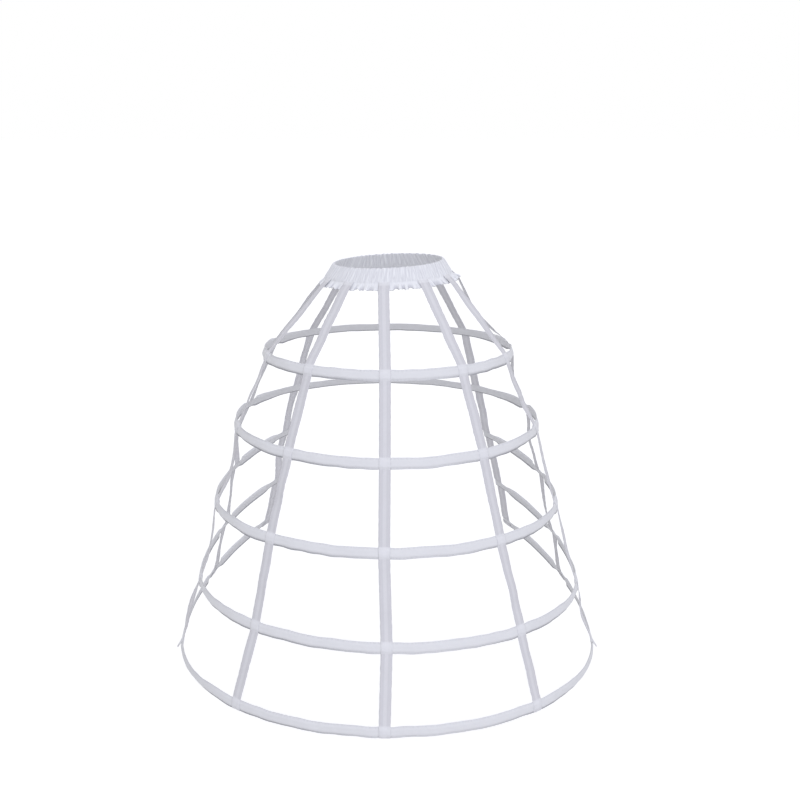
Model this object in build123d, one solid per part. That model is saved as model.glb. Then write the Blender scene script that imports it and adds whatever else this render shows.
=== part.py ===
"""Crinoline cage: five sprung hoops hung on nine tapes from a gathered elastic waistband.

Millimetres, +Z up. The origin is the middle of the opening at the top of the waistband.
The wearer's back is at -Y and the open front at +Y. Angles go round the cage from the middle
of the back (0 degrees) to the wearer's right-hand side of this frame (+X, 90 degrees) and on
to the middle of the front (180 degrees). Hoops 1 and 2 are closed rings. Hoops 3, 4 and 5 stop
at the two front tapes, and their arms rise towards them.
"""

import math
import os
from dataclasses import dataclass

from build123d import *

# Waistband: a gathered fabric tube round a flat elastic, with a frilled heading below it
waist_width = 250.0
waist_depth = 212.0
band_height = 31.0
band_flare = 20.0
frill_height = 14.5
frill_flare = 13.0
frill_wave_height = 4.2
frill_wave_count = 36
gather_count = 150
gather_depth = 1.3
band_fabric = 0.9
seam_height = 3.0
seam_thickness = 2.4
frill_thickness = 1.2
elastic_height = 24.0
elastic_thickness = 1.4
elastic_slack = 0.25

# Hoops: radius of the middle of the casing, and how far each hangs below the one above it
hoop_1_radius = 281.0
hoop_2_radius = 345.0
hoop_3_radius = 394.0
hoop_4_radius = 441.0
hoop_5_radius = 485.0
waist_to_hoop_1 = 206.5
hoop_1_to_2 = 169.0
hoop_2_to_3 = 174.0
hoop_3_to_4 = 184.0
hoop_4_to_5 = 161.0

# Tilt: how much higher the waistband and each hoop are at the front than at the back
waist_tilt = 11.0
hoop_1_tilt = 12.0
hoop_2_tilt = 32.0
hoop_3_tilt = 16.0
hoop_4_tilt = 4.0
hoop_5_tilt = 4.0

# Roll: how much lower each hangs on the wearer's right than on the left, as a worn cage does
waist_roll = -11.0
hoop_1_roll = 0.0
hoop_2_roll = 4.0
hoop_3_roll = 9.0
hoop_4_roll = 18.0
hoop_5_roll = 9.0

# Shift: how far a hoop's middle hangs to the wearer's right of the waist's middle
hoop_1_shift = -1.4
hoop_2_shift = -4.9
hoop_3_shift = -5.7
hoop_4_shift = -0.7
hoop_5_shift = -4.0

# Arms of the open hoops: how high they rise at the front tapes, and where the rise starts
hoop_3_arm_rise = 60.0
hoop_4_arm_rise = 115.0
hoop_5_arm_rise = 158.0
hoop_3_arm_start = 100.0
hoop_4_arm_start = 95.0
hoop_5_arm_start = 91.0
arm_bend = 7.0

# Lean: degrees by which a casing's top edge leans in, at the back and at the front
hoop_1_back_lean = 16.0
hoop_2_back_lean = 14.0
hoop_3_back_lean = 13.0
hoop_4_back_lean = 11.0
hoop_5_back_lean = 3.0
front_lean = 36.0

# Casing, a flat fabric tube, and the sprung strip inside it
casing_width = 24.0
casing_thickness = 4.0
casing_wall = 0.8
casing_margin = 4.0
casing_end_seam = 4.0
bone_width = 13.0
bone_thickness = 1.4
bone_end_gap = 1.0
cap_wall = 0.35
cap_side_wall = 0.5
cap_fit = 0.05
cap_length = 14.0
cap_end_wall = 1.5
sleeve_length = 36.0

# Tapes: flat ribbon
tape_width = 24.0
tape_thickness = 1.2
tape_gap = 0.2
tape_edge_margin = 1.0
tape_overlap = 4.0
tape_turn_up = 15.0
side_end_out = 11.0
side_end_down = 16.0

# Where each tape is sewn, in degrees: on the waistband, on hoop 1, on hoop 2 and on the last hoop
back_centre_angles = (-3.9, -1.4, -0.7, -0.8)
back_left_angles = (-37.0, -36.6, -36.5, -41.0)
back_right_angles = (31.0, 33.6, 35.6, 40.3)
side_left_angles = (-68.0, -72.0, -74.5, -83.0)
side_right_angles = (63.0, 67.0, 75.0, 84.0)
flank_left_angles = (-111.0, -111.0, -108.0, -114.5)
flank_right_angles = (103.0, 95.0, 106.0, 114.0)
front_waist_angle = 140.0
front_angle = 138.5

# How finely the curves are drawn
hoop_station_step = 12.0
oval_station_count = 96
angle_step = 0.05


@dataclass
class Hoop:
    """One hoop: its size and how its line runs. A closed hoop has no arms."""

    number: int
    drop: float
    radius: float
    tilt: float
    roll: float
    shift: float
    back_lean: float
    arm_rise: float = 0.0
    arm_start: float = 0.0
    end_angle: float = 180.0

    @property
    def closed(self):
        return self.end_angle >= 180.0

    def degrees_for(self, length):
        """Angle that a length along the hoop takes up."""
        return math.degrees(length / self.radius)

    def height(self, angle):
        """Height of the middle of the casing: tilted and rolled, then bending up into the arm."""
        turn = math.radians(angle)
        height = leaned_height(turn, self.tilt, self.roll) + self.tilt / 2 - self.drop
        if self.closed:
            return height
        past = soft_step(abs(angle) - self.arm_start) / soft_step(front_angle - self.arm_start)
        return height + self.arm_rise * past

    def centre(self, angle):
        turn = math.radians(angle)
        sideways = self.shift + self.radius * math.sin(turn)
        return Vector(sideways, -self.radius * math.cos(turn), self.height(angle))

    def frame(self, angle):
        """Centre, direction along, direction across (up) and outward normal at an angle."""
        along = (self.centre(angle + angle_step) - self.centre(angle - angle_step)).normalized()
        forward = (1 - math.cos(math.radians(angle))) / 2
        lean = math.radians(self.back_lean + (front_lean - self.back_lean) * forward)
        turn = math.radians(angle)
        outward = Vector(math.sin(turn), -math.cos(turn), 0)
        across = Vector(0, 0, math.cos(lean)) - outward * math.sin(lean)
        across = (across - along * across.dot(along)).normalized()
        return self.centre(angle), along, across, along.cross(across)


def leaned_height(turn, tilt, roll):
    """Height of a tilted and rolled ring above its middle, at a turn in radians."""
    return -tilt * math.cos(turn) / 2 - roll * math.sin(turn) / 2


def soft_step(past):
    """Nought well before the bend and equal to the distance past it well after, with a soft knee."""
    return (past + math.sqrt(past * past + arm_bend * arm_bend)) / 2


def make_hoops():
    """The five hoops in order, each hung from the one above it."""
    drops = [waist_to_hoop_1]
    for fall in (hoop_1_to_2, hoop_2_to_3, hoop_3_to_4, hoop_4_to_5):
        drops.append(drops[-1] + fall)
    closed = (
        (hoop_1_radius, hoop_1_tilt, hoop_1_roll, hoop_1_shift, hoop_1_back_lean),
        (hoop_2_radius, hoop_2_tilt, hoop_2_roll, hoop_2_shift, hoop_2_back_lean),
    )
    opened = (
        (hoop_3_radius, hoop_3_tilt, hoop_3_roll, hoop_3_shift, hoop_3_back_lean),
        (hoop_4_radius, hoop_4_tilt, hoop_4_roll, hoop_4_shift, hoop_4_back_lean),
        (hoop_5_radius, hoop_5_tilt, hoop_5_roll, hoop_5_shift, hoop_5_back_lean),
    )
    arms = (
        (hoop_3_arm_rise, hoop_3_arm_start),
        (hoop_4_arm_rise, hoop_4_arm_start),
        (hoop_5_arm_rise, hoop_5_arm_start),
    )
    hoops = [Hoop(i + 1, drops[i], *sizes) for i, sizes in enumerate(closed + opened)]
    for hoop, (rise, start) in zip(hoops[len(closed):], arms):
        hoop.arm_rise = rise
        hoop.arm_start = start
        hoop.end_angle = front_angle + hoop.degrees_for(tape_width / 2)
    return hoops


def faceted(sections, ring=False):
    """Solid through sections that have as many corners each, with two flat facets to each side.

    The facets on the first half of the corners lean one way and those on the second half the other way,
    so that the two faces of a thin wall lie alike.
    """
    corners = len(sections[0])
    pairs = list(zip(sections, sections[1:]))
    if ring:
        pairs.append((sections[-1], sections[0]))
    facets = []
    for here, there in pairs:
        for j in range(corners):
            k = (j + 1) % corners
            if j < corners / 2:
                facets += [(here[j], here[k], there[k]), (here[j], there[k], there[j])]
            else:
                facets += [(here[j], here[k], there[j]), (here[k], there[k], there[j])]
    if not ring:
        facets += [tuple(sections[0]), tuple(sections[-1])]
    return Solid(Shell([Face(Wire.make_polygon(facet, close=True)) for facet in facets]))


def flat_section(width, thickness):
    """Corners of a flat strip's section, as distances across and out from its middle."""
    half_width, half_thickness = width / 2, thickness / 2
    return [
        (half_width, half_thickness),
        (-half_width, half_thickness),
        (-half_width, -half_thickness),
        (half_width, -half_thickness),
    ]


def casing_section():
    """Corners of a casing's section: flat inside, raised outside over the sprung strip, thin at its seams."""
    edge = casing_width / 2
    raised = edge - casing_margin
    inside = -casing_thickness / 2
    seam = inside + 2 * casing_wall
    top = casing_thickness / 2
    return [(edge, seam), (raised, top), (-raised, top), (-edge, seam), (-edge, inside), (edge, inside)]


def strip(hoop, section, start, end, ring=False):
    """A section carried along a hoop's line, with a ruled side between each two of its long edges."""
    count = max(3, round((end - start) / hoop_station_step) + 1)
    angles = [start + (end - start) * i / (count - 1) for i in range(count)]
    if ring:
        angles = angles[:-1]
    frames = [hoop.frame(angle) for angle in angles]
    edges = []
    for across_offset, out_offset in section:
        points = [
            centre + across * across_offset + outward * out_offset for centre, along, across, outward in frames
        ]
        edges.append(Edge.make_spline(points, periodic=ring))
    faces = [Face.make_surface_from_curves(edges[i - 1], edges[i]) for i in range(len(edges))]
    if not ring:
        for place in (0, 1):
            corners = [edge @ place for edge in edges]
            faces.append(Face(Wire.make_polygon(corners, close=True)))
    return Solid(Shell(faces))


def casing(hoop):
    """Fabric tube of a hoop, hollow where the sprung strip lies."""
    hollow_section = flat_section(casing_width - 2 * casing_margin, casing_thickness - 2 * casing_wall)
    if hoop.closed:
        body = strip(hoop, casing_section(), -180, 180, ring=True)
        hollow = strip(hoop, hollow_section, -180, 180, ring=True)
    else:
        end = hoop.end_angle
        inner_end = end - hoop.degrees_for(casing_end_seam)
        body = strip(hoop, casing_section(), -end, end)
        hollow = strip(hoop, hollow_section, -inner_end, inner_end)
    return body - hollow


def bone_end_angle(hoop):
    """Where the sprung strip stops, inside its cap or in the middle of its joining sleeve."""
    if hoop.closed:
        return 180 - hoop.degrees_for(bone_end_gap / 2)
    spare = casing_end_seam + bone_end_gap + cap_end_wall
    return hoop.end_angle - hoop.degrees_for(spare)


def bone(hoop):
    """Sprung strip that holds a hoop round."""
    end = bone_end_angle(hoop)
    return strip(hoop, flat_section(bone_width, bone_thickness), -end, end)


def socket(hoop, start, end, pocket_start, pocket_end):
    """A thin metal box round the sprung strip from one angle to another."""
    outer_width = bone_width + 2 * (cap_fit + cap_side_wall)
    outer_thickness = bone_thickness + 2 * (cap_fit + cap_wall)
    body = strip(hoop, flat_section(outer_width, outer_thickness), start, end)
    pocket = flat_section(bone_width + 2 * cap_fit, bone_thickness + 2 * cap_fit)
    return body - strip(hoop, pocket, pocket_start, pocket_end)


def joining_sleeve(hoop):
    """Sleeve over the two ends of a closed hoop's strip, at the middle of the front."""
    half = hoop.degrees_for(sleeve_length / 2)
    past = hoop.degrees_for(cap_end_wall)
    return socket(hoop, 180 - half, 180 + half, 180 - half - past, 180 + half + past)


def end_cap(hoop, side):
    """Cap over one end of an open hoop's strip. Side is -1 for left and 1 for right."""
    bone_end = bone_end_angle(hoop)
    outer_end = bone_end + hoop.degrees_for(cap_end_wall)
    inner_end = outer_end - hoop.degrees_for(cap_length)
    past = hoop.degrees_for(cap_end_wall)
    spans = sorted((side * inner_end, side * outer_end))
    pocket = sorted((side * (inner_end - past), side * (bone_end + hoop.degrees_for(cap_fit))))
    return socket(hoop, spans[0], spans[1], pocket[0], pocket[1])


def waist_spread(z):
    """How far the waist's oval has grown at a height below the opening."""
    below_band = max(0.0, -z - band_height)
    in_band = min(-z, band_height)
    return band_flare * in_band / band_height + frill_flare * below_band / frill_height


def waist_point(angle, z, offset):
    """Point on the waist's oval at a height, moved outwards along the oval's normal."""
    turn = math.radians(angle)
    half_width = waist_width / 2 - band_surface() + waist_spread(z)
    half_depth = waist_depth / 2 - band_surface() + waist_spread(z)
    normal = Vector(math.sin(turn) / half_width, -math.cos(turn) / half_depth, 0).normalized()
    height = z + leaned_height(turn, waist_tilt, waist_roll)
    return Vector(half_width * math.sin(turn), -half_depth * math.cos(turn), height) + normal * offset, normal


def channel_half():
    """Half the thickness of the elastic's channel."""
    return elastic_thickness / 2 + elastic_slack


def band_surface():
    """Offset of the crests of the gathers from the middle of the band."""
    return channel_half() + band_fabric + gather_depth


def oval_ring(top, bottom, half_thickness):
    """Smooth flat ring between two heights, for the elastic and its channel."""
    sections = []
    for i in range(oval_station_count):
        angle = 360 * i / oval_station_count
        profile = (
            (top, half_thickness),
            (bottom, half_thickness),
            (bottom, -half_thickness),
            (top, -half_thickness),
        )
        sections.append([waist_point(angle, z, offset)[0] for z, offset in profile])
    return faceted(sections, ring=True)


def elastic_span():
    """Top and bottom of the elastic, in the middle of its channel."""
    spare = (band_height - seam_height - elastic_height) / 2
    return -spare, -spare - elastic_height


def waistband_elastic():
    top, bottom = elastic_span()
    return oval_ring(top, bottom, elastic_thickness / 2)


def gathered_section(angle, crest, wave):
    """Outline of the gathered fabric at one angle, from the top edge down to the frill's hem and back up.

    Crest is 1 on a gather and 0 between two. Wave is the frill's swing there, out or in.
    """
    wall = channel_half() + band_fabric
    rib = gather_depth * crest
    seam_top = seam_height - band_height
    seam = seam_thickness / 2
    hem = -band_height - frill_height
    profile = (
        (0, wall + rib),
        (seam_top, wall + rib),
        (-band_height, seam + rib / 2),
        (hem, wave + frill_thickness / 2),
        (hem, wave - frill_thickness / 2),
        (-band_height, rib / 2 - seam - gather_depth / 2),
        (seam_top, rib - wall - gather_depth),
        (0, rib - wall - gather_depth),
    )
    return [waist_point(angle, z, offset)[0] for z, offset in profile]


def waistband_casing():
    """Gathered tube, pinched at the seam under the elastic, running on into the frill."""
    stations = 2 * round(gather_count)
    sections = []
    for i in range(stations):
        turn = i / stations
        wave = frill_wave_height * math.sin(2 * math.pi * round(frill_wave_count) * turn)
        sections.append(gathered_section(360 * turn, i % 2, wave))
    top, bottom = elastic_span()
    channel = oval_ring(top + elastic_slack, bottom - elastic_slack, channel_half())
    return faceted(sections, ring=True) - channel


@dataclass
class Tape:
    """One tape: where it is sewn on, in degrees, and whether its lower end is left free."""

    name: str
    waist_angle: float
    first_angle: float
    second_angle: float
    hem_angle: float
    free_end: bool = False

    def angle_on(self, hoop):
        """Its own place on hoop 1, and from hoop 2 down an even change to the last hoop."""
        if hoop.number == 1:
            return self.first_angle
        return self.second_angle + (self.hem_angle - self.second_angle) * (hoop.number - 2) / 3


def waist_stations(tape):
    """Where a tape is sewn to the band, and where it passes over the frill's edge."""
    lift = tape_gap + tape_thickness / 2
    on_band = band_surface() + lift
    past_frill = frill_thickness / 2 + frill_wave_height + lift
    hem = -band_height - frill_height - tape_edge_margin
    stations = []
    for z, offset in ((tape_overlap - band_height, on_band), (hem, past_frill)):
        before = waist_point(tape.waist_angle - angle_step, z, offset)[0]
        after = waist_point(tape.waist_angle + angle_step, z, offset)[0]
        point = waist_point(tape.waist_angle, z, offset)[0]
        stations.append((point, (after - before).normalized()))
    return stations


def hoop_crossing(tape, hoop):
    """Local frame of a tape on a hoop: centre, up along the tape, across it, out, and half its flat."""
    angle = tape.angle_on(hoop)
    centre, along, across, outward = hoop.frame(angle)
    turn = math.radians(angle)
    level = Vector(math.cos(turn), math.sin(turn), 0)
    up = outward.cross(level).normalized()
    side = up.cross(outward)
    half_flat = casing_width / 2 / across.dot(up)
    half_flat += tape_width / 2 * abs(along.dot(up) / along.dot(side)) + tape_edge_margin
    return centre, up, side, outward, half_flat


def tape_stations(tape, hoops):
    """Middle line and width direction of a tape, from the waistband to its lower end."""
    stations = waist_stations(tape)
    reach = casing_thickness / 2 + tape_gap + tape_thickness / 2
    for hoop in hoops:
        centre, up, side, outward, half_flat = hoop_crossing(tape, hoop)
        last = hoop is hoops[-1]
        steps = [(reach, half_flat)]
        if not last:
            steps.append((reach, -half_flat))
        elif tape.free_end:
            steps.append((reach, 0))
            steps.append((reach + side_end_out, -side_end_down))
        else:
            below = half_flat + tape_thickness / 2
            inside = -reach - (tape_width / 2) ** 2 / 2 / hoop.radius
            steps += [(reach, -below), (inside, -below), (inside, tape_turn_up - below)]
        for out, rise in steps:
            stations.append((centre + outward * out + up * rise, side))
    return stations


def tape_solid(tape, hoops):
    """Ribbon through its stations, with mitred bends."""
    stations = tape_stations(tape, hoops)
    points = [point for point, side in stations]
    runs = [(b - a).normalized() for a, b in zip(points, points[1:])]
    sections = []
    for i, (point, side) in enumerate(stations):
        before = runs[max(i - 1, 0)]
        after = runs[min(i, len(runs) - 1)]
        normal_before = before.cross(side).normalized()
        normal_after = after.cross(side).normalized()
        middle = (normal_before + normal_after).normalized()
        lift = middle * (tape_thickness / 2 / middle.dot(normal_after))
        half = side * (tape_width / 2)
        sections.append([point + half + lift, point - half + lift, point - half - lift, point + half - lift])
    return faceted(sections)


def make_tapes():
    """Nine tapes, from the middle of the back to the front. The side pair's lower ends are left free."""
    return [
        Tape("tape_back_centre", *back_centre_angles),
        Tape("tape_back_left", *back_left_angles),
        Tape("tape_back_right", *back_right_angles),
        Tape("tape_side_left", *side_left_angles, free_end=True),
        Tape("tape_side_right", *side_right_angles, free_end=True),
        Tape("tape_flank_left", *flank_left_angles),
        Tape("tape_flank_right", *flank_right_angles),
        Tape("tape_front_left", -front_waist_angle, -front_angle, -front_angle, -front_angle),
        Tape("tape_front_right", front_waist_angle, front_angle, front_angle, front_angle),
    ]


def build():
    """Every piece by name."""
    hoops = make_hoops()
    pieces = {"waistband_casing": waistband_casing(), "waistband_elastic": waistband_elastic()}
    for tape in make_tapes():
        pieces[tape.name] = tape_solid(tape, hoops)
    for hoop in hoops:
        name = f"hoop_{hoop.number}"
        pieces[f"{name}_casing"] = casing(hoop)
        pieces[f"{name}_bone"] = bone(hoop)
        if hoop.closed:
            pieces[f"{name}_joining_sleeve"] = joining_sleeve(hoop)
        else:
            pieces[f"{name}_end_cap_left"] = end_cap(hoop, -1)
            pieces[f"{name}_end_cap_right"] = end_cap(hoop, 1)
    return pieces


os.makedirs("parts", exist_ok=True)
for piece_name, piece in build().items():
    export_step(piece, f"parts/{piece_name}.step")
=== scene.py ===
# %% [markdown]
# # Crinoline cage
# Five sprung hoops hang on nine cotton tapes from a gathered elastic waistband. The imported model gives
# the frame: every piece below is cloth that takes the place of a plain solid, at the same place and size.
# The sprung strips, sleeves, caps and elastic inside the cloth stay as they are and only get a finish.
# Lengths are in metres, angles in degrees, +Z is up, and the wearer's back is at -Y.

# %% Load the frame
import math

import bpy
import numpy as np
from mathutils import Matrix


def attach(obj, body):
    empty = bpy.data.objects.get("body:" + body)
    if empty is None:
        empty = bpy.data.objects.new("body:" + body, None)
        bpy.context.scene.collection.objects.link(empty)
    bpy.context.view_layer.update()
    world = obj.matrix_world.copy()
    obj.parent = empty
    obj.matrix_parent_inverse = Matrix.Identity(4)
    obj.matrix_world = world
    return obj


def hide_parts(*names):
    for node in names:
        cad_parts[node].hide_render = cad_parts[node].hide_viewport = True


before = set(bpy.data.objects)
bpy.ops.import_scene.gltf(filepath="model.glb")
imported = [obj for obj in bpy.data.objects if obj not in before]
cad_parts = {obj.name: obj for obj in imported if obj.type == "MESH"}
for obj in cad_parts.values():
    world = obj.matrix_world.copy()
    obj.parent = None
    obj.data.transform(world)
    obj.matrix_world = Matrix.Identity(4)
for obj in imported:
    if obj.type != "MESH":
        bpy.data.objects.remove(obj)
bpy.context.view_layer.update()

# %% [markdown]
# ## The lines that the cloth follows
# A hoop's line is a circle that tilts, rolls to one side and, on the three open hoops, bends up into two
# arms. The same few sizes that made the solids make it here, worked out for a whole array of angles at once.

# %% Sizes of the hoops
arm_bend = 7.0
front_lean = 36.0
casing_width = 0.024
tape_width = 0.024
front_tape_angle = 138.5
hoop_size_names = ("radius", "fall", "tilt", "roll", "shift", "back_lean", "arm_rise", "arm_start")
hoop_sizes = (
    (0.281, 0.2065, 0.012, 0.000, -0.0014, 16.0, 0.000, 100.0),
    (0.345, 0.1690, 0.032, 0.004, -0.0049, 14.0, 0.000, 100.0),
    (0.394, 0.1740, 0.016, 0.009, -0.0057, 13.0, 0.060, 100.0),
    (0.441, 0.1840, 0.004, 0.018, -0.0007, 11.0, 0.115, 95.0),
    (0.485, 0.1610, 0.004, 0.009, -0.0040, 3.0, 0.158, 91.0),
)
hoops = []
for sizes in hoop_sizes:
    hoop = dict(zip(hoop_size_names, sizes))
    hoop["number"] = len(hoops) + 1
    hoop["drop"] = hoop["fall"] + (hoops[-1]["drop"] if hoops else 0.0)
    hoop["closed"] = hoop["arm_rise"] == 0
    hoop["half_tape"] = math.degrees(tape_width / 2 / hoop["radius"])
    hoop["end"] = 180.0 if hoop["closed"] else front_tape_angle + hoop["half_tape"]
    hoops.append(hoop)
    print("hoop", hoop["number"], "is", 2 * hoop["radius"], "m across,", round(hoop["drop"], 3), "m down")


# %% A hoop's line and the frame that rides on it
small_turn = 0.05


def unit(vectors):
    """Vectors divided by their length."""
    return vectors / np.linalg.norm(vectors, axis=-1, keepdims=True)


def soft_step(past):
    """Nought well before the bend, the distance past it well after: half of past + root(past² + bend²)."""
    return (past + np.sqrt(past * past + arm_bend * arm_bend)) / 2


def hoop_centre(hoop, angle):
    """Circle of the hoop's radius; its height is tilt (1 - cos)/2 - roll sin/2 - drop + the arm's rise."""
    turn = np.radians(angle)
    height = hoop["tilt"] * (1 - np.cos(turn)) / 2 - hoop["roll"] * np.sin(turn) / 2 - hoop["drop"]
    past, whole = (soft_step(at - hoop["arm_start"]) for at in (np.abs(angle), front_tape_angle))
    height = height + hoop["arm_rise"] * past / whole
    radius = hoop["radius"]
    return np.stack([hoop["shift"] + radius * np.sin(turn), -radius * np.cos(turn), height], axis=-1)


def hoop_frame(hoop, angle):
    """Centre, direction along, direction across (up) and outward normal at each angle.

    Along is the line's change over a small turn. Across starts as the upright leaned in by the casing's
    lean, then is made square to along.
    """
    angle = np.asarray(angle, float)
    turn = np.radians(angle)
    along = unit(hoop_centre(hoop, angle + small_turn) - hoop_centre(hoop, angle - small_turn))
    lean = np.radians(hoop["back_lean"] + (front_lean - hoop["back_lean"]) * (1 - np.cos(turn)) / 2)
    outward = np.stack([np.sin(turn), -np.cos(turn), np.zeros_like(turn)], axis=-1)
    up = np.stack([np.zeros_like(turn), np.zeros_like(turn), np.cos(lean)], axis=-1)
    across = up - outward * np.sin(lean)[..., None]
    across = unit(across - along * (along * across).sum(-1, keepdims=True))
    return hoop_centre(hoop, angle), along, across, np.cross(along, across)


# %% Where the tapes are sewn, in degrees on the waist, on hoop 1, on hoop 2 and on hoop 5
tape_places = {
    "back_centre": (-3.9, -1.4, -0.7, -0.8),
    "back_left": (-37.0, -36.6, -36.5, -41.0),
    "back_right": (31.0, 33.6, 35.6, 40.3),
    "side_left": (-68.0, -72.0, -74.5, -83.0),
    "side_right": (63.0, 67.0, 75.0, 84.0),
    "flank_left": (-111.0, -111.0, -108.0, -114.5),
    "flank_right": (103.0, 95.0, 106.0, 114.0),
    "front_left": (-140.0, -138.5, -138.5, -138.5),
    "front_right": (140.0, 138.5, 138.5, 138.5),
}
free_ended = ("side_left", "side_right")


def tape_angle(name, number):
    """A tape's place on a hoop: its own on hoop 1, and an even change from hoop 2 down to hoop 5."""
    first, second, last = tape_places[name][1:]
    if number == 1:
        return first
    return second + (last - second) * (number - 2) / 3


print("on hoop 3 the tapes are at", [round(tape_angle(name, 3), 1) for name in tape_places], "degrees")

# %% [markdown]
# ## Cloth that is never quite even
# Sewn cloth puckers, swells and wanders. Here that is a sum of a few cosines whose wave counts lie near a
# wanted wavelength. The counts are whole numbers, so the ripple meets itself on a closed ring, and each
# ripple has its own seed, so the result is the same on every run.

# %% Ripples
wave_count = 9
wave_spread = (0.6, 1.5)
usual_peak = 3.4
flat_core = 0.6


def ripple(place, length, wavelength, seed, slant=0.0):
    """Sum of nine cosines of place / length, of about length / wavelength waves each, scaled to about ±1.

    Slant is added to place, so that folds can lean across the cloth.
    """
    draw = np.random.default_rng(seed)
    counts = np.maximum(1, np.rint(length / wavelength * draw.uniform(*wave_spread, wave_count)))
    phases = draw.uniform(0, 2 * np.pi, wave_count)
    turns = (np.asarray(place) + slant)[..., None] / length * 2 * np.pi
    return np.cos(turns * counts + phases).sum(-1) / usual_peak


def cloth_ripple(kind, place, length, seed, reach=0.0):
    """Height times a ripple that leans by slant times reach, for a kind (height, wavelength, slant, seed)."""
    height, wavelength, slant, own_seed = kind
    return height * ripple(place, length, wavelength, seed + own_seed, slant * reach)


def smooth_ramp(value, start, end):
    """0 before start, 1 after end, and a curve without a corner between: 3t² - 2t³.

    Where a size below is a pair of numbers, it is such a start and end.
    """
    part = np.clip((value - start) / (end - start), 0, 1)
    return part * part * (3 - 2 * part)


def hump(value, middle, half_width):
    """1 at the middle and 0 at half_width to either side."""
    return 1 - smooth_ramp(np.abs(value - middle), 0, half_width)


def under_tapes(angle, places, half_width):
    """1 in the middle of each tape and 0 at half_width degrees from it, for angles round a ring."""
    pressed = np.zeros(np.shape(angle))
    for place in places:
        apart = np.abs((angle - place + 180) % 360 - 180)
        pressed = np.maximum(pressed, 1 - smooth_ramp(apart, half_width * flat_core, half_width))
    return pressed


sample = ripple(np.linspace(0, 1, 500), 1.0, 0.05, 1)
print("a ripple of 1 swings from", round(sample.min(), 2), "to", round(sample.max(), 2))

# %% [markdown]
# ## From a grid of points to a mesh
# Every cloth here is a grid: rows along its length and columns round its section. The helpers below turn
# the grid into quads, close it where it is a ring, close open ends with one face each, and turn all
# faces outwards by the sign of the volume. The UV map is in metres along and across the cloth, so that
# threads keep their real size on every piece.

# %% Grid surface
body = "root"
collection = bpy.context.scene.collection


def grid_faces(rows, columns, ring):
    """Corner numbers of the quads of a grid whose columns close on themselves, and its rows too if ring."""
    i, j = np.meshgrid(np.arange(rows if ring else rows - 1), np.arange(columns), indexing="ij")
    i2, j2 = (i + 1) % rows, (j + 1) % columns
    quads = np.stack([i * columns + j, i2 * columns + j, i2 * columns + j2, i * columns + j2], -1)
    uv_columns = columns + 1
    uv = np.stack([i * uv_columns + j, (i + 1) * uv_columns + j], -1)
    uv = np.stack([uv[..., 0], uv[..., 1], uv[..., 1] + 1, uv[..., 0] + 1], -1)
    return quads.reshape(-1, 4), uv.reshape(-1, 4)


def add_piece(name, mesh):
    """Object of a mesh, at the origin, riding on the one body."""
    piece = bpy.data.objects.new(name, mesh)
    collection.objects.link(piece)
    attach(piece, body)
    return piece


def inside_out(vertices, faces):
    """True where the volume inside the faces, from the first three corners of each, comes out negative."""
    a, b, c = (vertices[faces[:, k]] for k in range(3))
    return (a * np.cross(b, c)).sum() < 0


def end_faces(rows, columns, flipped):
    """The two faces that close an open grid, with a corner for each column of its first and last row."""
    first, last = np.arange(columns), (rows - 1) * columns + np.arange(columns)
    return (first, last[::-1]) if flipped else (first[::-1], last)


def cloth_mesh(name, points, along, across, ring, **attributes):
    """Closed mesh of points[i, j], with UV (along[i], across[i, j]) in metres and one attribute per keyword.

    Along has one value more than points has rows where the cloth is a ring.
    """
    rows, columns = points.shape[:2]
    vertices = points.reshape(-1, 3)
    quads, uv_corners = grid_faces(rows, columns, ring)
    flipped = inside_out(vertices, quads)
    if flipped:
        quads, uv_corners = quads[:, ::-1], uv_corners[:, ::-1]
    wide = np.concatenate([across, across[:, :1]], 1)
    if ring:
        wide = np.concatenate([wide, wide[:1]], 0)
    uv = np.stack([np.broadcast_to(along[:, None], wide.shape), wide], -1).reshape(-1, 2)
    faces = quads.tolist()
    loop_uv = [uv[uv_corners.ravel()]]
    if not ring:
        for end in end_faces(rows, columns, flipped):
            faces.append(end.tolist())
            loop_uv.append(uv[(end // columns) * (columns + 1) + end % columns])
    mesh = bpy.data.meshes.new(name)
    mesh.from_pydata(vertices, [], faces)
    mesh.shade_smooth()
    flat_uv = np.concatenate(loop_uv).astype(np.float32).ravel()
    mesh.uv_layers.new(name="cloth").data.foreach_set("uv", flat_uv)
    for key, values in attributes.items():
        layer = mesh.attributes.new(key, "FLOAT", "POINT")
        full = np.broadcast_to(values, (rows, columns)).astype(np.float32)
        layer.data.foreach_set("value", full.ravel())
    return add_piece(name, mesh)


# %% A section carried along a line
def carried(line, side, out, twist, across, offset):
    """Points = line + side a + out o, where a and o are across and offset turned by the twist in radians.

    Line, side and out have a row for each place along, and across and offset a column for each one round.
    """
    turned_across = across * np.cos(twist) - offset * np.sin(twist)
    turned_out = across * np.sin(twist) + offset * np.cos(twist)
    return line[:, None] + side[:, None] * turned_across[..., None] + out[:, None] * turned_out[..., None]


# %% [markdown]
# ## Stitches
# A row of machine stitches is the same small grain many times: eight faces, longer than wide, half sunk in
# the cloth. All stitches of a piece are one mesh, worked out as one array.

# %% Stitches along a line
stitch_length = 0.0025
stitch_pitch = 0.0034
stitch_width = 0.0006
stitch_height = 0.0005


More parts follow.
